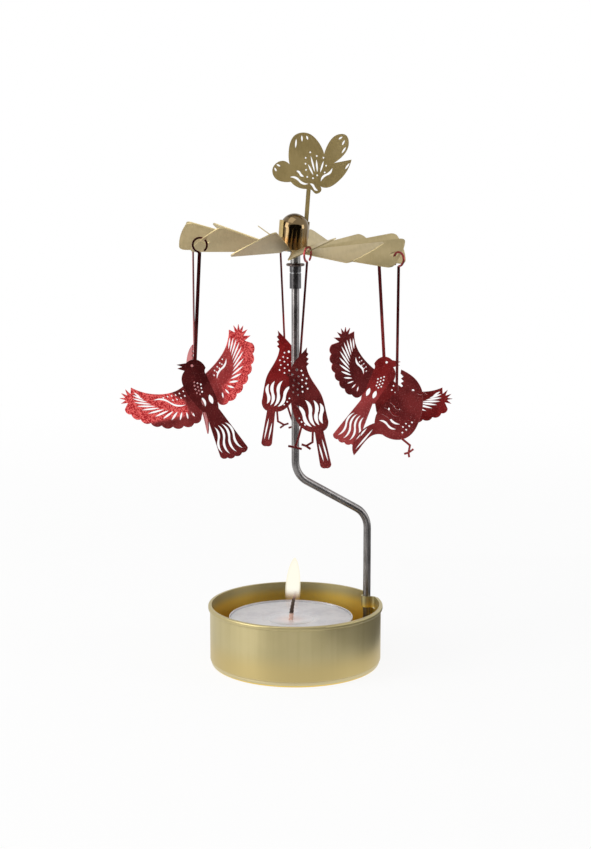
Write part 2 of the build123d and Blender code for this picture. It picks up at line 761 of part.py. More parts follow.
round_leg_shares = (((0.040, -0.495), (0.104, -0.545), (0.094, -0.600)),)
round_toe_shares = (((0.062, -0.610), (0.094, -0.600), (0.130, -0.572)), ((0.094, -0.600), (0.100, -0.634)))


def hook_location(index):
    """Middle of the strip of sheet that a ring hangs on, at the low side of its hole."""
    strip_y = -hook_offset - hook_slip
    tip_x = math.sqrt(blade_tip_radius**2 - strip_y**2) - blade_root_radius
    hole_edge = hook_hole_centre_x + math.sqrt(hook_hole_radius**2 - hook_slip**2)
    return blade_location(index) * Location(((tip_x + hole_edge) / 2, strip_y, 0))


def ring_drop(turn):
    """Depth of a ring's middle under its hook, so that the ring clears the sloping strip."""
    slip_cut = hook_hole_radius - math.sqrt(hook_hole_radius**2 - hook_slip**2)
    half_strip = (hook_strip + slip_cut) / 2
    steepest = math.radians(blade_pitch * (1 + max(blade_bend_shares)))
    turned = math.radians(turn)
    reach = (half_strip + half_bird_sheet * math.sin(turned)) / math.cos(turned)
    slope_rise = (reach * math.sin(turned) + half_bird_sheet * math.cos(turned)) * math.tan(steepest)
    strip_rise = half_strip * math.tan(math.radians(blade_rise + rotor_lean))
    height = slope_rise + strip_rise + rotor_sheet / 2 / math.cos(steepest)
    return ring_inner_radius - math.hypot(reach, height) - ring_clearance


def eyelet(turn, ring_turn, stem_width, stem_length):
    """Open ring and the thin stem below it, with the stem's sheet turned from the ring's."""
    drop = ring_drop(turn)
    with BuildSketch(upright_plane(ring_turn)) as ring:
        with BuildLine() as ring_line:
            CenterArc((0, -drop), ring_middle_radius, -90, ring_gap_angle - 360)
        trace(ring_line.edges(), line_width=ring_band)
    extrude(ring.sketch, amount=half_bird_sheet, both=True)
    with BuildSketch(Plane.XZ) as stem:
        with Locations((0, -drop - ring_middle_radius)):
            height = stem_length - drop - ring_middle_radius
            Rectangle(stem_width, height, align=(Align.CENTER, Align.MAX))
    extrude(stem.sketch, amount=half_bird_sheet, both=True)


def bent_wing_plane(body_plane, size, root_shares, bend):
    """Plane of a wing: the bird's own plane turned about the line of the wing's root."""
    start, end = (body_plane.from_local_coords(point) for point in sized(root_shares, size))
    hinge_line = Axis((0, 0, 0), end - start)
    return Plane(
        origin=start,
        x_dir=body_plane.x_dir.rotate(hinge_line, bend),
        z_dir=body_plane.z_dir.rotate(hinge_line, bend),
    )


def bent_wing(body_plane, size, root_shares, bend, runs, tips, coverts, arch_shares, dots):
    """One wing with feather slots, bent out of the sheet at its root."""
    root_share = root_shares[0]
    with BuildSketch(bent_wing_plane(body_plane, size, root_shares, bend)) as wing:
        outline(runs, size, root_share)
        cut_slots(feather_slots(tips, coverts), size, slot_width, leaf_slot, root_share)
        cut_slots((arch_shares,), size, slot_width, wavy_slot, root_share)
        cut_dots(dots, size, dot_radius, root_share)
    extrude(wing.sketch, amount=half_bird_sheet, both=True)


def flying_bird(body_plane, size):
    """Flat body and tail, and two wings bent backwards."""
    with BuildSketch(body_plane) as body:
        outline(flying_body_shares, size)
        outline(flying_tail_shares, size)
        cut_slots(flying_tail_slot_shares, size, slot_width, wavy_slot)
        cut_slots(flying_rump_slot_shares, size, 2 * slot_width, leaf_slot)
        cut_dots(flying_dot_shares, size, dot_radius)
        cut_eye(flying_eye_share, size)
    extrude(body.sketch, amount=half_bird_sheet, both=True)
    bent_wing(
        body_plane, size, right_wing_root_shares, -wing_bend, right_wing_shares, right_wing_tip_shares,
        right_wing_covert_shares, right_wing_arch_shares, right_wing_dot_shares,
    )
    bent_wing(
        body_plane, size, left_wing_root_shares, wing_bend, left_wing_shares, left_wing_tip_shares,
        left_wing_covert_shares, left_wing_arch_shares, left_wing_dot_shares,
    )


def perched_bird(
    body_plane, size, runs, wing_slots, wing_slot_width, tail_slots, dots, eye, beak_slots, legs
):
    """A flat bird with slots in wing and tail, dots, and thin legs with toes."""
    with BuildSketch(body_plane) as body:
        outline(runs, size)
        cut_slots(wing_slots, size, wing_slot_width, wavy_slot)
        cut_slots(tail_slots, size, thin_slot_width, leaf_slot)
        cut_slots(beak_slots, size, thin_slot_width, leaf_slot)
        cut_dots(dots, size, dot_radius)
        cut_eye(eye, size)
        for leg in legs:
            with BuildLine() as bones:
                Polyline(*sized(leg, size))
            trace(bones.edges(), line_width=leg_width)
    extrude(body.sketch, amount=half_bird_sheet, both=True)


def slim_bird(body_plane, size):
    """Slim perched bird."""
    perched_bird(
        body_plane, size, slim_outline_shares, slim_wing_slot_shares, wide_slot_width,
        slim_tail_slot_shares, slim_dot_shares, slim_eye_share, slim_beak_slot_shares,
        slim_leg_shares + slim_toe_shares,
    )


def round_bird(body_plane, size):
    """Round perched bird."""
    perched_bird(
        body_plane, size, round_outline_shares, round_wing_slot_shares, slot_width,
        round_tail_slot_shares, round_dot_shares, round_eye_share, round_beak_slot_shares,
        round_leg_shares + round_toe_shares,
    )


# In the order of their blades: name, azimuth of the sheet, ring's turn, shape, size share, lean and stem
pendants = (
    ("flying_bird_back", 182.0, ring_turn_from_radius, flying_bird, 1.0, flying_back_lean,
     flying_stem_width, flying_stem_length, flying_stem_sink),
    ("slim_bird_back", 170.0, slim_ring_turn_from_radius, slim_bird, slim_back_size_share, slim_back_lean,
     slim_stem_width, slim_back_stem_length, slim_stem_sink),
    ("round_bird_left", 112.0, ring_turn_from_radius, round_bird, 1.0, 0,
     round_stem_width, round_stem_length, round_stem_sink),
    ("flying_bird_front", 7.0, ring_turn_from_radius, flying_bird, 1.0, 0,
     flying_stem_width, flying_stem_length, flying_stem_sink),
    ("slim_bird_front", -10.0, slim_ring_turn_from_radius, slim_bird, slim_front_size_share, 0,
     slim_stem_width, slim_stem_length, slim_stem_sink),
    ("round_bird_right", -10.0, ring_turn_from_radius, round_bird, 1.0, 0,
     round_stem_width, round_stem_length, round_stem_sink),
)


def pendant_blade(order):
    """Index of the blade that a pendant hangs on."""
    return blades_per_pendant * order + blades_per_pendant - 1


for order, pendant in enumerate(pendants):
    name, sheet_azimuth, turn, draw_bird, size_share, lean, stem_width, stem_length, stem_sink = pendant
    hook = hook_location(pendant_blade(order)).position
    hook_azimuth = math.degrees(math.atan2(hook.Y, hook.X))
    ring_turn = hook_azimuth + 180 - turn - sheet_azimuth
    with BuildPart() as straight_bird:
        eyelet(turn, ring_turn, stem_width, stem_length + stem_sink)
        draw_bird(upright_plane(0, (0, 0, -stem_length)).rotated((0, -lean, 0)), wing_span * size_share)
    # Each bird hangs with its centre of mass under its hook
    middle = straight_bird.part.center()
    swing = math.degrees(math.atan2(middle.X, -middle.Z))
    dip = math.degrees(math.atan2(-middle.Y, math.hypot(middle.X, middle.Z)))
    hanging = Location(hook) * Rotation(0, 0, sheet_azimuth) * Rotation(dip, 0, 0) * Rotation(0, swing, 0)
    with BuildPart() as hanging_bird:
        with Locations(hanging):
            add(straight_bird.part)
    hanging_bird.part.label = name
    export_step(hanging_bird.part, f"parts/{name}.step")

# Blossom, own outline: five petals, stamens and a lip, on a flat stem
blossom_outline_shares = (
    ("curve", (
        (-0.235, 0.092), (-0.345, 0.085), (-0.435, 0.118), (-0.484, 0.232), (-0.420, 0.330),
        (-0.268, 0.312),
    )),
    ("curve", (
        (-0.268, 0.312), (-0.292, 0.505), (-0.222, 0.690), (-0.070, 0.724), (0.055, 0.650),
        (0.165, 0.478),
    )),
    ("curve", (
        (0.165, 0.478), (0.212, 0.620), (0.315, 0.732), (0.425, 0.735), (0.470, 0.615),
        (0.410, 0.474), (0.300, 0.372),
    )),
    ("line", ((0.300, 0.372), (0.522, 0.432))),
    ("curve", ((0.522, 0.432), (0.472, 0.278), (0.368, 0.138), (0.235, 0.052), (0.150, 0.062))),
    ("curve", (
        (0.150, 0.062), (0.148, -0.015), (0.092, -0.034), (0.040, 0.008), (-0.050, 0.014),
        (-0.163, 0.038), (-0.235, 0.092),
    )),
)
stamen_shares = (
    ((-0.030, 0.330), (0.046, 0.200)),
    ((-0.005, 0.440), (0.062, 0.238)),
    ((0.070, 0.400), (0.096, 0.240)),
    ((0.165, 0.388), (0.132, 0.240)),
)
stamen_dot_shares = (
    (-0.015, 0.484), (0.072, 0.444), (0.160, 0.428), (0.202, 0.330), (0.190, 0.244), (-0.068, 0.410),
    (-0.064, 0.335), (-0.052, 0.258), (-0.030, 0.170), (0.045, 0.160), (0.096, 0.200),
)
petal_slot_shares = (
    ((-0.206, 0.640), (-0.208, 0.525)),
    ((-0.140, 0.690), (-0.130, 0.612)),
    ((-0.078, 0.690), (-0.058, 0.640)),
    ((0.382, 0.712), (0.335, 0.675)),
    ((0.415, 0.670), (0.385, 0.604)),
    ((0.436, 0.585), (0.390, 0.502)),
    ((0.500, 0.385), (0.448, 0.302)),
    ((-0.385, 0.278), (-0.436, 0.300)),
    ((-0.430, 0.210), (-0.458, 0.256)),
)
lip_slot_shares = (
    ((-0.252, 0.150), (-0.010, 0.084)),
    ((0.010, 0.086), (0.122, 0.008)),
    ((-0.175, 0.235), (-0.074, 0.174)),
    ((0.282, 0.308), (0.150, 0.126)),
)

with BuildPart() as flower_topper:
    blossom_origin = rotor_section.from_local_coords((blossom_stem_offset, blossom_height, -blossom_setback))
    blossom_plane = Plane(origin=blossom_origin, x_dir=rotor_section.x_dir, z_dir=rotor_section.z_dir)
    with BuildSketch(blossom_plane):
        outline(blossom_outline_shares, blossom_width)
        stem_length = blossom_height + blossom_stem_foot
        Rectangle(blossom_stem_width, stem_length, align=(Align.CENTER, Align.MAX))
        Rectangle(blossom_stem_width, blossom_stem_width)
        cut_slots(stamen_shares, blossom_width, stamen_slot_width, leaf_slot)
        cut_slots(petal_slot_shares, blossom_width, stamen_slot_width, leaf_slot)
        cut_slots(lip_slot_shares, blossom_width, slot_width, wavy_slot)
        cut_dots(stamen_dot_shares, blossom_width, stamen_dot_radius)
    extrude(amount=blossom_sheet / 2, both=True)
    # The stem's foot is cut to the shape of the cap that it stands against
    with BuildSketch(rotor_section):
        envelope_radius = cap_radius + fit_clearance
        with BuildLine():
            RadiusArc((0, dome_height + envelope_radius), (envelope_radius, dome_height), envelope_radius)
            Polyline(
                (envelope_radius, dome_height),
                (envelope_radius, -rotor_disc_drop),
                (0, -rotor_disc_drop),
                (0, dome_height + envelope_radius),
            )
        make_face()
    revolve(axis=Axis(rotor_frame.origin, rotor_frame.z_dir), mode=Mode.SUBTRACT)
    # The collar clasps the cap from the stem round the back
    with BuildSketch(rotor_frame.offset(-collar_drop)):
        with BuildLine():
            collar_radius = envelope_radius + collar_sheet / 2
            CenterArc((0, 0), collar_radius, collar_first_azimuth, collar_angle)
        trace(line_width=collar_sheet)
    extrude(amount=collar_height)
flower_topper.part.label = "flower_topper"
export_step(flower_topper.part, "parts/flower_topper.step")
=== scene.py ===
import bpy
import math
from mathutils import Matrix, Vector


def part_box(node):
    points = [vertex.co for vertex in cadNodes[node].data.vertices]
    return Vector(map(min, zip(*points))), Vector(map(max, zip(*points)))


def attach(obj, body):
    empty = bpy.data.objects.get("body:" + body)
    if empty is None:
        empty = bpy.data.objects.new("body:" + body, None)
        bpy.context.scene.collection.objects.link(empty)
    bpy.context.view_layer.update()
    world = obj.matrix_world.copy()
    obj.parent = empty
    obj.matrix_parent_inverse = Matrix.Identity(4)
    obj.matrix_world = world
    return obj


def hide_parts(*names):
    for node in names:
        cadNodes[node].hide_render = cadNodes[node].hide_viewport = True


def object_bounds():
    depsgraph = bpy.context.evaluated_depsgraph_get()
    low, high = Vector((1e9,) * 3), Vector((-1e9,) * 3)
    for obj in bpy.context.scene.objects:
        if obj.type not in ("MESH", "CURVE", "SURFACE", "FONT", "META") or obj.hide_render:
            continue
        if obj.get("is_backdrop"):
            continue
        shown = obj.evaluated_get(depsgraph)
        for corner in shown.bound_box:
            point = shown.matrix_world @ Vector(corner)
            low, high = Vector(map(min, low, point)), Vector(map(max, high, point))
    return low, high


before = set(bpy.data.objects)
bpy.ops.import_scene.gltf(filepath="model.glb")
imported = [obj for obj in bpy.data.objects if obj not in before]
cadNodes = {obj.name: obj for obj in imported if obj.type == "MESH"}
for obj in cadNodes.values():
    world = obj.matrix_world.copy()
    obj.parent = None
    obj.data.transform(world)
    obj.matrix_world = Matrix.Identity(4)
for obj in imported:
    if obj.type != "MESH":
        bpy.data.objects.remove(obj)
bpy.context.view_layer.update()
print("frame loaded:", len(cadNodes), "nodes")

millimetre = 0.001
bpy.ops.object.select_all(action="DESELECT")


def millimetres(*lengths):
    return tuple(length * millimetre for length in lengths)


# Shader maths written as Python: a wire is one socket that can be added, multiplied and so on
class Wire:
    def __init__(self, tree, socket):
        self.tree = tree
        self.socket = socket

    def combine(self, operation, first, second=0.0):
        node = self.tree.add("ShaderNodeMath", {"operation": operation}, {0: first, 1: second})
        return Wire(self.tree, node.outputs[0])

    def __add__(self, other):
        return self.combine("ADD", self, other)

    def __radd__(self, other):
        return self.combine("ADD", other, self)

    def __sub__(self, other):
        return self.combine("SUBTRACT", self, other)

    def __rsub__(self, other):
        return self.combine("SUBTRACT", other, self)

    def __mul__(self, other):
        return self.combine("MULTIPLY", self, other)

    def __rmul__(self, other):
        return self.combine("MULTIPLY", other, self)

    def __truediv__(self, other):
        return self.combine("DIVIDE", self, other)

    def absolute(self):
        return self.combine("ABSOLUTE", self)

    def root(self):
        return self.combine("SQRT", self)

    def ramp(self, low, high, start=0.0, end=1.0):
        settings = {"interpolation_type": "SMOOTHSTEP"}
        values = {"Value": self, "From Min": low, "From Max": high, "To Min": start, "To Max": end}
        return Wire(self.tree, self.tree.add("ShaderNodeMapRange", settings, values).outputs[0])


# How far two offsets at right angles to each other reach together
def reach(across, along):
    return (across * across + along * along).root()


# Wires added up, each times the weight of its name, on top of a base
def addUp(weights, **wires):
    total = weights.get("base", 0.0)
    for name, wire in wires.items():
        total = total + wire * weights[name]
    return total


# A node tree; one method adds any node, from its type, its settings and its sockets' values or links
class Tree:
    def __init__(self, owner):
        owner.use_nodes = True
        self.nodes = owner.node_tree.nodes
        self.links = owner.node_tree.links
        self.nodes.clear()

    def add(self, kind, settings, values):
        node = self.nodes.new(kind)
        for name, value in settings.items():
            setattr(node, name, value)
        for name, value in values.items():
            socket = node.inputs[name]
            if isinstance(value, Wire):
                self.links.new(value.socket, socket)
            elif socket.type == "RGBA":
                socket.default_value = (*value, 1.0)
            else:
                socket.default_value = value
        return node

    def take(self, kind, output, values=None, **settings):
        return Wire(self, self.add(kind, settings, values or {}).outputs[output])


# A material with one shader; fixed numbers go straight on the shader's own sockets
class Paint(Tree):
    def __init__(self, name, **fixed):
        self.material = bpy.data.materials.new(name)
        super().__init__(self.material)
        self.shader = self.add("ShaderNodeBsdfPrincipled", {}, {})
        self.surface = Wire(self, self.shader.outputs[0])
        self.output = self.add("ShaderNodeOutputMaterial", {}, {"Surface": self.surface})
        for socket, value in fixed.items():
            self.shader.inputs[socket.replace("_", " ")].default_value = value
        self.place = self.take("ShaderNodeTexCoord", "Object")
        axes = self.add("ShaderNodeSeparateXYZ", {}, {0: self.place})
        self.x, self.y, self.z = (Wire(self, socket) for socket in axes.outputs)

    def stretched(self, scale, turn=(0.0, 0.0, 0.0)):
        values = {"Vector": self.place, "Scale": scale, "Rotation": turn}
        return self.take("ShaderNodeMapping", 0, values)

    def noise(self, scale, detail=3.0, roughness=0.5, place=None):
        values = {"Vector": place or self.place, "Scale": scale, "Detail": detail}
        values["Roughness"] = roughness
        return self.take("ShaderNodeTexNoise", 0, values)

    def cells(self, scale, output="Distance"):
        return self.take("ShaderNodeTexVoronoi", output, {"Vector": self.place, "Scale": scale})

    def mix(self, amount, first, second):
        return self.take("ShaderNodeMix", 2, {0: amount, 6: first, 7: second}, data_type="RGBA")

    def fromUpright(self, x, y):
        return reach(self.x - x, self.y - y)

    def feed(self, **wires):
        for socket, wire in wires.items():
            self.links.new(wire.socket, self.shader.inputs[socket.replace("_", " ")])

    def bump(self, height, strength, distance):
        values = {"Height": height, "Strength": strength, "Distance": distance}
        self.feed(Normal=self.take("ShaderNodeBump", 0, values))


def finish(paint, *names):
    for name in names:
        node = cadNodes[name]
        node.data.materials.clear()
        node.data.materials.append(paint.material)


# Candle cup: drawn, brass-plated sheet with fine upright streaks; inside it, painted shade darkens
# the wall near the rim and a painted glow of gold reflecting gold fills it lower down
cup = {
    "outside": (0.54, 0.463, 0.25),
    "shade": (0.48, 0.408, 0.21),
    "low": (0.57, 0.445, 0.19),
    "insideGlowLow": (0.93, 0.66, 0.11),
    "insideShadeHigh": (0.44, 0.385, 0.20),
    "beadShade": (0.46, 0.385, 0.19),
    "worn": (0.66, 0.58, 0.36),
    "streaks": {"scale": 620.0},
    "streakStretch": (1.0, 1.0, 0.02),
    "clouds": {"scale": 70.0},
    "rings": {"scale": 1600.0, "detail": 2.0},
    "ringStretch": (0.002, 0.002, 1.0),
    "streakShare": 0.4,
    "shadeRange": (0.34, 0.66),
    # Above the foot
    "lowRange": millimetres(11.0, 4.0),
    "lowShare": 0.8,
    "footRange": millimetres(2.25, 1.5),
    "footWearAndLightShare": 0.7,
    # Above the rim: less than zero is below it
    "rimRange": millimetres(-1.05, -0.45),
    "depthRange": millimetres(-1.15, -4.65),
    # Out from the outer wall: less than zero is inside it
    "insideRange": millimetres(-0.95, -1.1),
    "beadShare": {"base": 0.5, "clouds": 0.4},
    "roughness": {"base": 0.36, "inside": 0.10, "streaks": 0.04, "clouds": 0.05},
    "relief": {"streaks": 0.25, "rings": 0.15, "clouds": 0.4},
    "bump": (0.05, 0.05 * millimetre),
}
cupLow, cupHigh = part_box("candle_cup")
brass = Paint("cupBrass", Metallic=1.0)
streaks = brass.noise(**cup["streaks"], place=brass.stretched(cup["streakStretch"]))
clouds = brass.noise(**cup["clouds"])
rings = brass.noise(**cup["rings"], place=brass.stretched(cup["ringStretch"]))
aboveFoot = brass.z - cupLow.z
aboveRim = brass.z - cupHigh.z
outFromWall = brass.fromUpright(0.0, 0.0) - (cupHigh.y - cupLow.y) / 2
inside = outFromWall.ramp(*cup["insideRange"])
mottle = streaks * cup["streakShare"] + clouds * (1 - cup["streakShare"])
skin = brass.mix(mottle.ramp(*cup["shadeRange"]), cup["shade"], cup["outside"])
skin = brass.mix(aboveFoot.ramp(*cup["lowRange"]) * cup["lowShare"], skin, cup["low"])
# Painted highlight along with some wear: the foot's lowest 2.25 mm fades towards pale brass, making
# up for the shade reflected from the floor under it
skin = brass.mix(aboveFoot.ramp(*cup["footRange"]) * cup["footWearAndLightShare"], skin, cup["worn"])
# Painted light inside the cup: shade darkens the wall near the rim, and a reflected gold glow fills
# it lower down
gold = brass.mix(aboveRim.ramp(*cup["depthRange"]), cup["insideShadeHigh"], cup["insideGlowLow"])
skin = brass.mix(inside, skin, gold)
# Painted shade: the rim bead is darkened to tone down its own highlight
beadShade = aboveRim.ramp(*cup["rimRange"]) * addUp(cup["beadShare"], clouds=clouds) * (1 - inside)
skin = brass.mix(beadShade, skin, cup["beadShade"])
dullness = addUp(cup["roughness"], inside=inside, streaks=streaks, clouds=clouds)
brass.feed(Base_Color=skin, Roughness=dullness)
brass.bump(addUp(cup["relief"], streaks=streaks, rings=rings, clouds=clouds), *cup["bump"])
finish(brass, "candle_cup")

# Steel wire rod, with the fine lines that drawing leaves along it
rod = {
    "steel": (0.30, 0.285, 0.28),
    "dark": (0.17, 0.16, 0.158),
    "bright": (0.46, 0.445, 0.44),
    "lines": {"scale": 2600.0, "roughness": 0.6},
    "lineStretch": (1.0, 1.0, 0.02),
    "patches": {"scale": 160.0, "detail": 4.0, "roughness": 0.6},
    "patchRange": (0.35, 0.7),
    "lineRange": (0.55, 0.75),
    "lineShare": 0.5,
    "roughness": {"base": 0.22, "patches": 0.16, "lines": 0.08},
    "bump": (0.15, 0.02 * millimetre),
}
wire = Paint("rodSteel", Metallic=1.0)
lines = wire.noise(**rod["lines"], place=wire.stretched(rod["lineStretch"]))
patches = wire.noise(**rod["patches"])
tone = wire.mix(patches.ramp(*rod["patchRange"]), rod["dark"], rod["steel"])
tone = wire.mix(lines.ramp(*rod["lineRange"]) * rod["lineShare"], tone, rod["bright"])
wire.feed(Base_Color=tone, Roughness=addUp(rod["roughness"], patches=patches, lines=lines))
wire.bump(lines, *rod["bump"])
finish(wire, "support_rod")

# Sleeve: burnished dark steel with a bright groove, bare where it is turned down at its tip
sleeve = {
    "dark": (0.085, 0.082, 0.084),
    "worn": (0.22, 0.22, 0.23),
    "groove": (0.30, 0.31, 0.32),
    "tip": (0.34, 0.33, 0.32),
    "turned": {"scale": 5200.0, "detail": 2.0},
    "turnedStretch": (0.02, 0.02, 1.0),
    "smears": {"scale": 500.0, "detail": 4.0, "roughness": 0.6},
    "smearRange": (0.5, 0.75),
    "smearShare": 0.6,
    "grooveHeight": 4.6 * millimetre,  # above the sleeve's foot
    "grooveRange": millimetres(0.22, 0.066),
    "tipRange": millimetres(-0.05, 0.05),  # above the washer
    "tipShare": 0.8,
    "roughness": {"base": 0.28, "smears": 0.2},
    "bump": (0.2, 0.02 * millimetre),
}
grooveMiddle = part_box("rod_sleeve")[0].z + sleeve["grooveHeight"]
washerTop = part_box("stop_washer")[1].z
burnished = Paint("sleeveDark", Metallic=1.0)
turned = burnished.noise(**sleeve["turned"], place=burnished.stretched(sleeve["turnedStretch"]))
smears = burnished.noise(**sleeve["smears"])
groove = (burnished.z - grooveMiddle).absolute().ramp(*sleeve["grooveRange"])
tip = (burnished.z - washerTop).ramp(*sleeve["tipRange"]) * sleeve["tipShare"]
rubbing = smears.ramp(*sleeve["smearRange"]) * sleeve["smearShare"]
tone = burnished.mix(rubbing, sleeve["dark"], sleeve["worn"])
tone = burnished.mix(groove, tone, sleeve["groove"])
tone = burnished.mix(tip, tone, sleeve["tip"])
burnished.feed(Base_Color=tone, Roughness=addUp(sleeve["roughness"], smears=smears))
burnished.bump(turned, *sleeve["bump"])
finish(burnished, "rod_sleeve")

# Stop washer: blued steel with a brown tint and rubbed spots
washer = {
    "blued": (0.10, 0.075, 0.07),
    "rubbed": (0.45, 0.38, 0.34),
    "speckle": {"scale": 1500.0, "detail": 4.0, "roughness": 0.7},
    "speckleRange": (0.5, 0.7),
    "speckleShare": 0.7,
    "roughness": {"base": 0.25, "speckle": 0.2},
    "bump": (0.15, 0.03 * millimetre),
}
blued = Paint("washerSteel", Metallic=1.0)
speckle = blued.noise(**washer["speckle"])
rubbing = speckle.ramp(*washer["speckleRange"]) * washer["speckleShare"]
tone = blued.mix(rubbing, washer["blued"], washer["rubbed"])
blued.feed(Base_Color=tone, Roughness=addUp(washer["roughness"], speckle=speckle))
blued.bump(speckle, *washer["bump"])
finish(blued, "stop_washer")

# Needle pin: polished steel, its ground lines running round it
pin = {
    "steel": (0.62, 0.62, 0.63),
    "dark": (0.35, 0.35, 0.36),
    "ground": {"scale": 6000.0, "roughness": 0.6},
    "groundStretch": (0.05, 0.05, 1.0),
    "roughness": {"base": 0.12, "ground": 0.15},
    "bump": (0.1, 0.01 * millimetre),
}
polished = Paint("pinSteel", Metallic=1.0)
ground = polished.noise(**pin["ground"], place=polished.stretched(pin["groundStretch"]))
tone = polished.mix(ground, pin["dark"], pin["steel"])
polished.feed(Base_Color=tone, Roughness=addUp(pin["roughness"], ground=ground))
polished.bump(ground, *pin["bump"])
finish(polished, "needle_pin")
print("cup, rod, sleeve, washer and pin finished")

# Where the tealight stands: its middle, and the foot and top of its wax
tealightMiddle = sum(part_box("tealight_cup"), Vector()) / 2
waxFoot, waxTop = (corner.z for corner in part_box("wax"))

# Tealight cup: thin pressed foil with upright flutes and dull stains
foil = {
    "bright": (0.78, 0.77, 0.79),
    "dull": (0.66, 0.645, 0.655),
    "flutes": {"scale": 1500.0, "detail": 2.0, "roughness": 0.4},
    "fluteStretch": (1.0, 1.0, 0.05),
    "stains": {"scale": 260.0, "detail": 5.0, "roughness": 0.6},
    "stainRange": (0.4, 0.65),
    "stainRelief": 0.4,
    "roughness": {"base": 0.32, "stains": 0.2},
    "bump": (0.35, 0.06 * millimetre),
}
foilPaint = Paint("tealightFoil", Metallic=1.0)
flutes = foilPaint.noise(**foil["flutes"], place=foilPaint.stretched(foil["fluteStretch"]))
stains = foilPaint.noise(**foil["stains"])
tone = foilPaint.mix(stains.ramp(*foil["stainRange"]), foil["dull"], foil["bright"])
foilPaint.feed(Base_Color=tone, Roughness=addUp(foil["roughness"], stains=stains))
foilPaint.bump(flutes + stains * foil["stainRelief"], *foil["bump"])
finish(foilPaint, "tealight_cup")

# Wax: cool white and slightly clear, glossy where it melts round the wick, with small pits; round the
# wick a painted warm glow stands in for the flame's light
candle = {
    "cool": (0.72, 0.705, 0.72),
    "shade": (0.61, 0.595, 0.62),
    "flameGlow": (0.92, 0.66, 0.56),
    "clearness": 0.35,
    "clearDepth": 4.0 * millimetre,
    "clearSpread": (1.0, 0.8, 0.7),
    "grain": {"scale": 900.0, "detail": 5.0, "roughness": 0.65},
    "drift": {"scale": 180.0},
    "grainShare": 0.4,
    "shadeRange": (0.35, 0.6),
    "pits": 1100.0,
    "pitRange": (0.22, 0.05),
    "pitDepth": 0.6,
    "poolRange": millimetres(9.0, 6.3),
    "poolSmooths": 0.9,
    "flameGlowRange": millimetres(6.0, 0.0),
    "flameGlowShare": 0.55,
    "roughness": {"base": 0.48, "pool": -0.36, "grain": 0.12},
    "bump": (0.4, 0.12 * millimetre),
}
wax = Paint("candleWax", Subsurface_Weight=candle["clearness"], Subsurface_Scale=candle["clearDepth"],
            Subsurface_Radius=candle["clearSpread"])
fromWick = wax.fromUpright(tealightMiddle.x, tealightMiddle.y)
grain = wax.noise(**candle["grain"])
drift = wax.noise(**candle["drift"])
pits = wax.cells(candle["pits"]).ramp(*candle["pitRange"])
pool = fromWick.ramp(*candle["poolRange"])
mottle = grain * candle["grainShare"] + drift * (1 - candle["grainShare"])
tone = wax.mix(mottle.ramp(*candle["shadeRange"]), candle["shade"], candle["cool"])
# Painted light: the flame's peach glow tints the wax within 6 mm of the wick
tone = wax.mix(fromWick.ramp(*candle["flameGlowRange"]) * candle["flameGlowShare"], tone, candle["flameGlow"])
wax.feed(Base_Color=tone, Roughness=addUp(candle["roughness"], pool=pool, grain=grain))
pitting = pits * (1 - pool) * candle["pitDepth"]
wax.bump(grain * (1 - pool * candle["poolSmooths"]) - pitting, *candle["bump"])
finish(wax, "wax")

# Wick: three plaited strands, pale where wax soaks them, then burnt black, then glowing brown
cotton = {
    # Millimetres to the right of the tealight's middle, and above the wax's foot
    "path": ((0.0, 0.05), (0.0, 12.75), (0.3, 16.05), (0.8, 18.85), (1.5, 21.65)),
    "strands": 3,
    "sides": 8,
    "steps": 42,
    "turns": 7.0,
    "strandRadius": 0.48 * millimetre,
    "plaitRadius": 0.27 * millimetre,
    "taper": 0.55,
    "taperStart": 0.65,
    "soaked": (0.72, 0.50, 0.42),
    "char": (0.004, 0.003, 0.003),
    "ash": (0.030, 0.022, 0.018),
    "ember": (0.28, 0.09, 0.04),
    "fibre": {"scale": 2600.0, "detail": 4.0, "roughness": 0.7},
    "fibreStretch": (1.0, 1.0, 0.45),
    "fibreTurn": (0.0, 0.6, 0.0),
    "ashRange": (0.45, 0.75),
    "ashShare": 0.7,
    "soakedRange": millimetres(1.85, 1.15),  # above the wax
    "emberRange": millimetres(-2.8, -1.0),  # above the wick's tip: less than zero is below it
    "emberShare": 0.85,
    "roughness": 0.95,
    "bump": (0.8, 0.1 * millimetre),
}


# The wick's middle at a height in millimetres above the wax's foot
def wickPoint(height):
    foot = Vector((tealightMiddle.x, tealightMiddle.y, waxFoot))
    path = cotton["path"]
    for lower, upper in zip(path, path[1:]):
        if height <= upper[1] or upper is path[-1]:
            share = (height - lower[1]) / (upper[1] - lower[1])
            aside = lower[0] + (upper[0] - lower[0]) * share
            return foot + Vector((aside, 0.0, height)) * millimetre


def wickWidth(share):
    tapered = max(0.0, share - cotton["taperStart"]) / (1 - cotton["taperStart"])
    return 1 - (1 - cotton["taper"]) * tapered


def strandPoint(share, strand):
    foot, top = cotton["path"][0][1], cotton["path"][-1][1]
    turn = 2 * math.pi * (cotton["turns"] * share + strand / cotton["strands"])
    out = cotton["plaitRadius"] * wickWidth(share)
    aside = Vector((out * math.cos(turn), out * math.sin(turn), 0.0))
    return wickPoint(foot + (top - foot) * share) + aside


def makeStrand(strand):
    place = strandPoint(0.0, strand)
    bpy.ops.object.select_all(action="DESELECT")
    bpy.ops.mesh.primitive_circle_add(vertices=cotton["sides"], radius=cotton["strandRadius"],
                                      fill_type="NGON", location=place)
    piece = bpy.context.object
    bpy.ops.object.mode_set(mode="EDIT")
    for step in range(1, cotton["steps"] + 1):
        share = step / cotton["steps"]
        nextPlace = strandPoint(share, strand)
        bpy.ops.mesh.extrude_region_move(TRANSFORM_OT_translate={"value": nextPlace - place})
        grow = wickWidth(share) / wickWidth(share - 1 / cotton["steps"])
        bpy.ops.transform.resize(value=(grow, grow, 1.0), center_override=nextPlace)
        place = nextPlace
    bpy.ops.mesh.select_all(action="SELECT")
    bpy.ops.mesh.normals_make_consistent(inside=False)
    bpy.ops.object.mode_set(mode="OBJECT")
    return piece


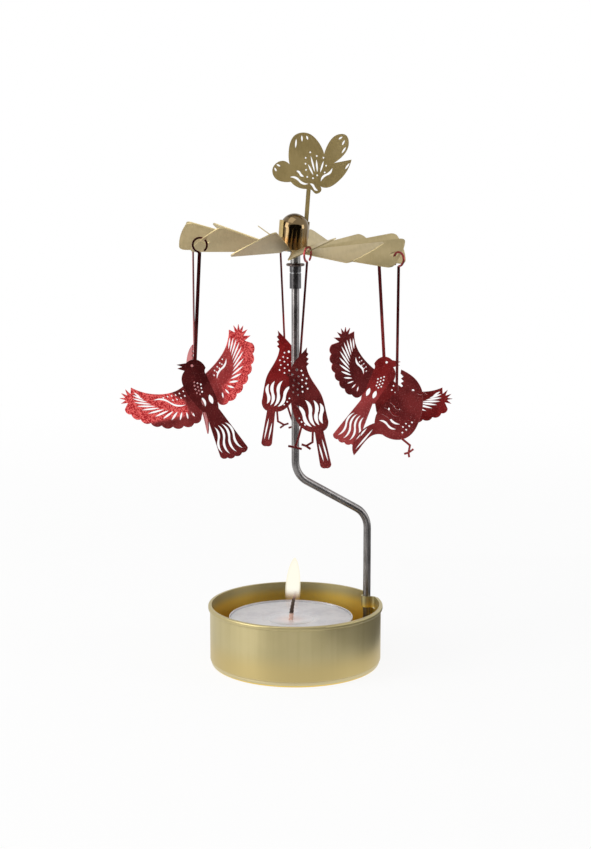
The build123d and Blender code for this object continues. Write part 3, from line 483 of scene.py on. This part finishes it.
def makeWick():
    strands = [makeStrand(strand) for strand in range(cotton["strands"])]
    for piece in strands:
        piece.select_set(True)
    bpy.ops.object.join()
    plaited = bpy.context.object
    plaited.name = "plaited_wick"
    plaited.data.name = "plaited_wick"
    bpy.ops.object.transform_apply(location=True, rotation=True, scale=True)
    bpy.ops.object.shade_smooth()
    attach(plaited, "tealight")
    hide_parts("wick")
    return plaited


wickTip = wickPoint(cotton["path"][-1][1])
wick = Paint("wickCotton", Roughness=cotton["roughness"])
fibrePlace = wick.stretched(cotton["fibreStretch"], cotton["fibreTurn"])
fibre = wick.noise(**cotton["fibre"], place=fibrePlace)
tone = wick.mix(fibre.ramp(*cotton["ashRange"]) * cotton["ashShare"], cotton["char"], cotton["ash"])
tone = wick.mix((wick.z - waxTop).ramp(*cotton["soakedRange"]), tone, cotton["soaked"])
glow = (wick.z - wickTip.z).ramp(*cotton["emberRange"]) * cotton["emberShare"]
wick.feed(Base_Color=wick.mix(glow, tone, cotton["ember"]))
wick.bump(fibre, *cotton["bump"])
makeWick().data.materials.append(wick.material)

# The wick's foot: tinned disc with a spangled surface
tin = {
    "light": (0.70, 0.70, 0.70),
    "grey": (0.45, 0.45, 0.46),
    "spangles": 900.0,
    "roughness": {"base": 0.25, "spangle": 0.3},
}
tinned = Paint("sustainerTin", Metallic=1.0)
spangle = tinned.cells(tin["spangles"])
tone = tinned.mix(spangle, tin["grey"], tin["light"])
tinned.feed(Base_Color=tone, Roughness=addUp(tin["roughness"], spangle=spangle))
finish(tinned, "wick_sustainer")
print("tealight finished")

# Rotor and blossom: thin sheet with a matt brass finish, each with its own tones
rotor = {
    "paint": "rotorBrass",
    "node": "blade_rotor",
    "grainTurn": (0.0, 0.0, 0.3),
    "metallic": 0.9,
    "brass": (0.55, 0.445, 0.24),
    "olive": (0.46, 0.37, 0.19),
    "rubbed": (0.62, 0.54, 0.34),
}
blossom = {
    "paint": "blossomBrass",
    "node": "flower_topper",
    "grainTurn": (0.0, 0.0, 1.1),
    "metallic": 0.75,
    "brass": (0.56, 0.43, 0.19),
    "olive": (0.46, 0.345, 0.14),
    "rubbed": (0.72, 0.62, 0.36),
}
# What rolling leaves on both: a faint grain, haze and rubbed spots
rolling = {
    "grain": {"scale": 1500.0, "detail": 4.0, "roughness": 0.6},
    "grainStretch": (1.0, 0.06, 0.4),
    "haze": {"scale": 90.0},
    "fine": {"scale": 5000.0, "detail": 2.0},
    "hazeShare": 0.7,
    "hazeRange": (0.38, 0.62),
    "rubbedRange": (0.6, 0.8),
    "rubbedShare": 0.35,
    "roughness": {"base": 0.42, "haze": 0.12, "grain": -0.06},
    "grainRelief": 0.5,
    "bump": (0.12, 0.03 * millimetre),
}
for sheet in (rotor, blossom):
    rolled = Paint(sheet["paint"], Metallic=sheet["metallic"])
    grainPlace = rolled.stretched(rolling["grainStretch"], sheet["grainTurn"])
    grain = rolled.noise(**rolling["grain"], place=grainPlace)
    haze = rolled.noise(**rolling["haze"])
    fine = rolled.noise(**rolling["fine"])
    mottle = haze * rolling["hazeShare"] + grain * (1 - rolling["hazeShare"])
    tone = rolled.mix(mottle.ramp(*rolling["hazeRange"]), sheet["olive"], sheet["brass"])
    rubbing = grain.ramp(*rolling["rubbedRange"]) * rolling["rubbedShare"]
    tone = rolled.mix(rubbing, tone, sheet["rubbed"])
    rolled.feed(Base_Color=tone, Roughness=addUp(rolling["roughness"], haze=haze, grain=grain))
    rolled.bump(grain * rolling["grainRelief"] + fine, *rolling["bump"])
    finish(rolled, sheet["node"])

# Hub cap: polished brass, faint rings from drawing it, tarnish low down, and a painted dark
# reflection on its crown
cap = {
    "gold": (0.30, 0.20, 0.085),
    "copper": (0.24, 0.13, 0.045),
    "tarnish": (0.11, 0.085, 0.06),
    "crownDarkReflection": (0.15, 0.11, 0.06),
    "rings": {"scale": 3000.0},
    "ringStretch": (0.03, 0.03, 1.0),
    "blotches": {"scale": 420.0, "detail": 4.0, "roughness": 0.6},
    "goldRange": (0.35, 0.65),
    "tarnishRange": (0.3, 0.6),
    "tarnishShare": 0.6,
    # Above the cap's top: less than zero is below it
    "lowRange": millimetres(-7.01, -10.31),
    "crownReflectionRange": millimetres(-7.91, -6.31),
    "crownReflectionShare": 0.85,
    "roughness": {"base": 0.05, "blotches": 0.10, "low": 0.12},
    "blotchRelief": 0.5,
    "bump": (0.08, 0.03 * millimetre),
}
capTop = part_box("hub_cap")[1].z
drawn = Paint("capBrass", Metallic=1.0)
rings = drawn.noise(**cap["rings"], place=drawn.stretched(cap["ringStretch"]))
blotches = drawn.noise(**cap["blotches"])
aboveCap = drawn.z - capTop
low = aboveCap.ramp(*cap["lowRange"])
tarnish = low * blotches.ramp(*cap["tarnishRange"]) * cap["tarnishShare"]
tone = drawn.mix(blotches.ramp(*cap["goldRange"]), cap["copper"], cap["gold"])
tone = drawn.mix(tarnish, tone, cap["tarnish"])
# Painted reflection: the crown is darkened, standing in for the dark studio it reflects
tone = drawn.mix(aboveCap.ramp(*cap["crownReflectionRange"]) * cap["crownReflectionShare"], tone, cap["crownDarkReflection"])
drawn.feed(Base_Color=tone, Roughness=addUp(cap["roughness"], blotches=blotches, low=low))
drawn.bump(rings + blotches * cap["blotchRelief"], *cap["bump"])
finish(drawn, "hub_cap")
print("rotor, cap and blossom finished")

# Birds: thin sheet under metallic red lacquer, whose flakes tilt every way and sparkle a little
bird = {
    "red": (0.56, 0.074, 0.074),
    "deep": (0.36, 0.044, 0.046),
    "spark": (0.88, 0.26, 0.25),
    "stem": (0.22, 0.028, 0.032),
    "flakes": {"scale": 2600.0, "detail": 2.0, "roughness": 0.6},
    "fineFlakes": {"scale": 6500.0, "detail": 2.0, "roughness": 0.6},
    "puddles": {"scale": 140.0},
    "redRange": (0.35, 0.65),
    "sparkRange": (0.54, 0.70),
    "sparkShare": 0.5,
    # Above the rotor's lowest tip: less than zero is below it
    "stemRange": millimetres(-18.31, -15.31),
    "stemShare": 0.8,
    "coatRoughness": 0.10,
    "coat": {"base": 0.10, "puddles": 0.20},
    "roughness": {"base": 0.25, "puddles": 0.08, "engraved": 0.34},
    "flakeRelief": 1.3,
    "relief": {"fineFlakes": 0.5, "puddles": 0.3},
    "bump": (0.30, 0.03 * millimetre),
    # The flying bird in front has engraved feathers round smooth shoulders, above its tail's line:
    # rougher and grained, and painted with glittering coral highlights. Their places are measured
    # from its box's left, front and lowest corner
    "feathers": {
        "dark": (0.56, 0.035, 0.042),
        "light": (1.0, 0.20, 0.19),
        "grains": 3300.0,
        "grainRange": (0.35, 0.65),
        "grainRelief": 3.0,
        # x, z and radius in millimetres
        "smoothParts": ((19.88, 23.34, 5.5), (26.88, 26.84, 6.0), (24.88, 17.84, 5.0)),
        "middle": 23.88 * millimetre,
        "middleRange": millimetres(3.0, 4.5),
        "tailHeight": 12.84 * millimetre,
        "tailSlope": 0.25,
        # Past these two it is another bird
        "rightRange": millimetres(42.88, 41.38),
        "backRange": millimetres(23.0, 21.5),
        "blend": 1.5 * millimetre,
    },
}
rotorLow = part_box("blade_rotor")[0]
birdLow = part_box("flying_bird_front")[0]
lacquer = Paint("birdRed", Metallic=1.0, Coat_Roughness=bird["coatRoughness"])
flakes = lacquer.noise(**bird["flakes"])
fineFlakes = lacquer.noise(**bird["fineFlakes"])
puddles = lacquer.noise(**bird["puddles"])
stem = (lacquer.z - rotorLow.z).ramp(*bird["stemRange"])
tone = lacquer.mix(puddles.ramp(*bird["redRange"]), bird["deep"], bird["red"])
tone = lacquer.mix(flakes.ramp(*bird["sparkRange"]) * bird["sparkShare"], tone, bird["spark"])
tone = lacquer.mix(stem * bird["stemShare"], tone, bird["stem"])
feathers = bird["feathers"]
right, back, above = lacquer.x - birdLow.x, lacquer.y - birdLow.y, lacquer.z - birdLow.z
fromMiddle = right - feathers["middle"]
aboveTail = above - feathers["tailHeight"] - feathers["tailSlope"] * fromMiddle
engraved = aboveTail.ramp(0.0, feathers["blend"])
for smoothPart in feathers["smoothParts"]:
    x, z, radius = millimetres(*smoothPart)
    away = reach(right - x, above - z)
    engraved = engraved * away.ramp(radius, radius + feathers["blend"])
engraved = engraved * right.ramp(*feathers["rightRange"])
engraved = engraved * back.ramp(*feathers["backRange"]) * (1 - stem)
engraved = engraved * fromMiddle.absolute().ramp(*feathers["middleRange"])
grains = lacquer.cells(feathers["grains"], "Color")
grain = lacquer.take("ShaderNodeSeparateColor", "Red", {"Color": grains})
# Painted highlight: the feathers' grains run from deep red to bright coral, standing in for light
# glinting off this bird's wings
paintedGlint = lacquer.mix(grain.ramp(*feathers["grainRange"]), feathers["dark"], feathers["light"])
tone = lacquer.mix(engraved, tone, paintedGlint)
dullness = addUp(bird["roughness"], puddles=puddles, engraved=engraved)
lacquer.feed(Base_Color=tone, Roughness=dullness, Coat_Weight=addUp(bird["coat"], puddles=puddles))
height = flakes * (bird["flakeRelief"] - stem) + engraved * grain * feathers["grainRelief"]
height = height + addUp(bird["relief"], fineFlakes=fineFlakes, puddles=puddles)
lacquer.bump(height, *bird["bump"])
birdNames = [name for name in cadNodes if "bird" in name]
finish(lacquer, *birdNames)
print("birds finished:", len(birdNames))


# Flame: a drop pulled up from a ring by extruding and resizing, one shell round the other
flame = {
    "aside": 0.45 * millimetre,
    "lean": 0.8 * millimetre,
    "clearance": 1.25 * millimetre,
    "height": 17.9 * millimetre,
    # Share of the height, and radius in millimetres
    "rings": ((0.0, 0.5), (0.05, 1.2), (0.12, 1.85), (0.23, 2.25), (0.40, 2.40), (0.60, 2.25),
              (0.77, 1.80), (0.88, 1.25), (0.96, 0.65)),
    "sides": 24,
    "black": (0.0, 0.0, 0.0, 1.0),
    "pink": (1.0, 0.62, 0.42),
    "flicker": {"scale": 420.0, "detail": 2.0},
    "flickerRise": 0.1,
    "flickerCover": 0.02,
    "pinkRange": (0.18, 0.50),
    "coverRange": (0.26, 0.54),
    # Foot and tall are shares of the height, cover is how solid a shell is low down and high up
    "shells": (
        {"name": "flame_halo", "widen": 1.0, "foot": 0.0, "tall": 1.0, "cover": (0.02, 0.60),
         "tone": (1.0, 0.95, 0.76), "strength": 1.0},
        {"name": "flame_body", "widen": 0.84, "foot": 0.05, "tall": 0.90, "cover": (0.01, 0.85),
         "tone": (1.0, 0.99, 0.93), "strength": 1.05},
        {"name": "flame_heart", "widen": 0.66, "foot": 0.16, "tall": 0.74, "cover": (0.0, 0.95),
         "tone": (1.0, 1.0, 0.98), "strength": 1.2},
    ),
}


def makeFlameShell(name, widen, base, height):
    centre = Vector((tealightMiddle.x + flame["aside"], tealightMiddle.y, base))
    lastShare, lastRadius = flame["rings"][0]
    bpy.ops.object.select_all(action="DESELECT")
    bpy.ops.mesh.primitive_circle_add(vertices=flame["sides"], fill_type="NGON", location=centre,
                                      radius=lastRadius * widen * millimetre)
    shell = bpy.context.object
    shell.name = name
    shell.data.name = name
    bpy.ops.object.mode_set(mode="EDIT")
    for share, radius in flame["rings"][1:]:
        rise = (share - lastShare) * height
        sideways = flame["lean"] * (share**2 - lastShare**2)
        bpy.ops.mesh.extrude_region_move(TRANSFORM_OT_translate={"value": (sideways, 0.0, rise)})
        grow = radius / lastRadius
        middle = centre + Vector((flame["lean"] * share**2, 0.0, share * height))
        bpy.ops.transform.resize(value=(grow, grow, 1.0), center_override=middle)
        lastShare, lastRadius = share, radius
    tipMove = (flame["lean"] * (1 - lastShare**2), 0.0, (1 - lastShare) * height)
    bpy.ops.mesh.extrude_region_move(TRANSFORM_OT_translate={"value": tipMove})
    bpy.ops.mesh.merge(type="CENTER")
    bpy.ops.mesh.select_all(action="SELECT")
    bpy.ops.mesh.normals_make_consistent(inside=False)
    bpy.ops.object.mode_set(mode="OBJECT")
    rounding = shell.modifiers.new("rounding", "SUBSURF")
    rounding.levels = 1
    rounding.render_levels = 1
    bpy.ops.object.modifier_apply(modifier="rounding")
    bpy.ops.object.transform_apply(location=True, rotation=True, scale=True)
    bpy.ops.object.shade_smooth()
    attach(shell, "tealight")
    return shell


for part in flame["shells"]:
    partBase = waxTop + flame["clearance"] + part["foot"] * flame["height"]
    partHeight = part["tall"] * flame["height"]
    shell = makeFlameShell(part["name"], part["widen"], partBase, partHeight)
    fire = Paint(part["name"], Base_Color=flame["black"], Roughness=1.0, Specular_IOR_Level=0.0,
                 Emission_Strength=part["strength"])
    rise = (fire.z - partBase) / partHeight
    flicker = fire.noise(**flame["flicker"])
    warmth = (rise + flicker * flame["flickerRise"]).ramp(*flame["pinkRange"])
    cover = rise.ramp(*flame["coverRange"], *part["cover"]) + flicker * flame["flickerCover"]
    fire.feed(Emission_Color=fire.mix(warmth, flame["pink"], part["tone"]), Alpha=cover)
    shell.data.materials.append(fire.material)
print("flame made")


# What the camera sees itself, in a reflection or through something clear
def seenRays(tree):
    rays = tree.add("ShaderNodeLightPath", {}, {})
    kinds = ("Is Camera Ray", "Is Glossy Ray", "Is Transmission Ray")
    camera, glossy, clear = (Wire(tree, rays.outputs[kind]) for kind in kinds)
    return camera + glossy + clear


# Floor: pale paper for the light that falls on it, white where it is seen, most of all far off
floorPaper = {
    "size": 6.0,
    "height": -0.02 * millimetre,
    "pale": (0.90, 0.90, 0.90),
    "paler": (0.93, 0.93, 0.93),
    "fibre": {"scale": 40.0, "detail": 2.0},
    "roughness": 0.9,
    "white": {"Color": (1.0, 1.0, 1.0), "Strength": 1.0},
    "nearAndFar": (0.10, 0.60),
    "whiteShare": (0.88, 1.0),
}


def makeFloor():
    bpy.ops.object.select_all(action="DESELECT")
    place = (0.0, 0.0, floorPaper["height"])
    bpy.ops.mesh.primitive_plane_add(size=floorPaper["size"], location=place)
    floor = bpy.context.object
    floor.name = "floor"
    paper = Paint("floorPaper", Roughness=floorPaper["roughness"])
    fibre = paper.noise(**floorPaper["fibre"])
    paper.feed(Base_Color=paper.mix(fibre, floorPaper["pale"], floorPaper["paler"]))
    white = paper.take("ShaderNodeEmission", 0, floorPaper["white"])
    away = paper.fromUpright(0.0, 0.0)
    share = seenRays(paper) * away.ramp(*floorPaper["nearAndFar"], *floorPaper["whiteShare"])
    blend = paper.take("ShaderNodeMixShader", 0, {0: share, 1: paper.surface, 2: white})
    paper.links.new(blend.socket, paper.output.inputs["Surface"])
    floor.data.materials.append(paper.material)
    floor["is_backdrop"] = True


# Studio: grey and dark cloths that show only in reflections, soft lamps, white all round
studio = {
    "cloths": (
        {"name": "floorCloth", "size": (2.2, 0.76), "place": (0.15, -0.78, 0.001),
         "tilt": 0.0, "tone": 0.03},
        {"name": "frontCard", "size": (3.4, 0.75), "place": (0.6, -1.13, 0.376),
         "tilt": 90.0, "tone": 0.03},
        {"name": "rightCloth", "size": (0.48, 0.36), "place": (0.28, -0.04, 0.001),
         "tilt": 0.0, "tone": 0.16},
        {"name": "leftCloth", "size": (0.26, 0.24), "place": (-0.20, -0.25, 0.001),
         "tilt": 0.0, "tone": 0.08},
        {"name": "backCard", "size": (0.70, 0.60), "place": (-0.12, 0.45, 0.90),
         "tilt": -30.0, "tone": 0.42},
    ),
    "weave": {"scale": 30.0},
    "weaveLift": 1.1,
    "lamps": (
        {"name": "keyLamp", "place": (-0.78, -0.30, 0.45), "size": 0.45, "watts": 2.6,
         "tint": (1.0, 0.99, 0.97)},
        {"name": "lowLamp", "place": (-0.62, -0.38, 0.09), "size": 0.32, "watts": 1.2,
         "tint": (1.0, 0.99, 0.96)},
        {"name": "rightLamp", "place": (0.85, -0.25, 0.25), "size": 0.34, "watts": 1.3,
         "tint": (0.98, 0.99, 1.0)},
        {"name": "topLamp", "place": (-0.25, -0.25, 0.80), "size": 0.60, "watts": 1.6,
         "tint": (1.0, 1.0, 1.0)},
    ),
    "aim": Vector((0.0, 0.0, 0.08)),
    "softWorld": {"Color": (1.0, 1.0, 1.0), "Strength": 0.55},
    "whiteWorld": {"Color": (1.0, 1.0, 1.0), "Strength": 1.0},
}


def makeCloths():
    for piece in studio["cloths"]:
        cloth = Paint(piece["name"], Roughness=1.0, Specular_IOR_Level=0.0)
        weave = cloth.noise(**studio["weave"])
        dark = (piece["tone"],) * 3
        light = (piece["tone"] * studio["weaveLift"],) * 3
        cloth.feed(Base_Color=cloth.mix(weave, dark, light))
        bpy.ops.object.select_all(action="DESELECT")
        bpy.ops.mesh.primitive_plane_add(size=1.0, location=piece["place"])
        sheet = bpy.context.object
        sheet.name = piece["name"]
        sheet.scale = (*piece["size"], 1.0)
        sheet.rotation_euler = (math.radians(piece["tilt"]), 0.0, 0.0)
        sheet.visible_camera = False
        sheet.visible_diffuse = False
        sheet.visible_shadow = False
        sheet.data.materials.append(cloth.material)
        sheet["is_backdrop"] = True


def makeLamps():
    for lamp in studio["lamps"]:
        light = bpy.data.lights.new(lamp["name"], "AREA")
        light.size = lamp["size"]
        light.energy = lamp["watts"]
        light.color = lamp["tint"]
        holder = bpy.data.objects.new(lamp["name"], light)
        holder.location = lamp["place"]
        aim = studio["aim"] - Vector(lamp["place"])
        holder.rotation_euler = aim.to_track_quat("-Z", "Y").to_euler()
        bpy.context.scene.collection.objects.link(holder)


def makeWorld():
    world = bpy.data.worlds.new("studioWorld")
    bpy.context.scene.world = world
    sky = Tree(world)
    soft = sky.take("ShaderNodeBackground", 0, studio["softWorld"])
    white = sky.take("ShaderNodeBackground", 0, studio["whiteWorld"])
    blend = sky.take("ShaderNodeMixShader", 0, {0: seenRays(sky), 1: soft, 2: white})
    sky.add("ShaderNodeOutputWorld", {}, {"Surface": blend})


makeFloor()
makeCloths()
makeLamps()
makeWorld()

# Camera, fitted to the photograph: 591 by 849 pixels, looking down a little
view = {
    "place": millimetres(0.03, -458.2, 144.2),
    "down": 8.68,
    "focusPixels": 1533.9,
    "longSidePixels": 849,
    "sensorWidth": 36.0,
    "sees": (0.01, 50.0),
}
cameraData = bpy.data.cameras.new("camera")
cameraData.sensor_width = view["sensorWidth"]
cameraData.lens = view["sensorWidth"] * view["focusPixels"] / view["longSidePixels"]
cameraData.clip_start, cameraData.clip_end = view["sees"]
camera = bpy.data.objects.new("camera", cameraData)
camera.location = view["place"]
camera.rotation_euler = (math.radians(90.0 - view["down"]), 0.0, 0.0)
bpy.context.scene.collection.objects.link(camera)
bpy.context.scene.camera = camera
bpy.context.scene.view_settings.view_transform = "Standard"
print("studio and camera set")

low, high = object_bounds()
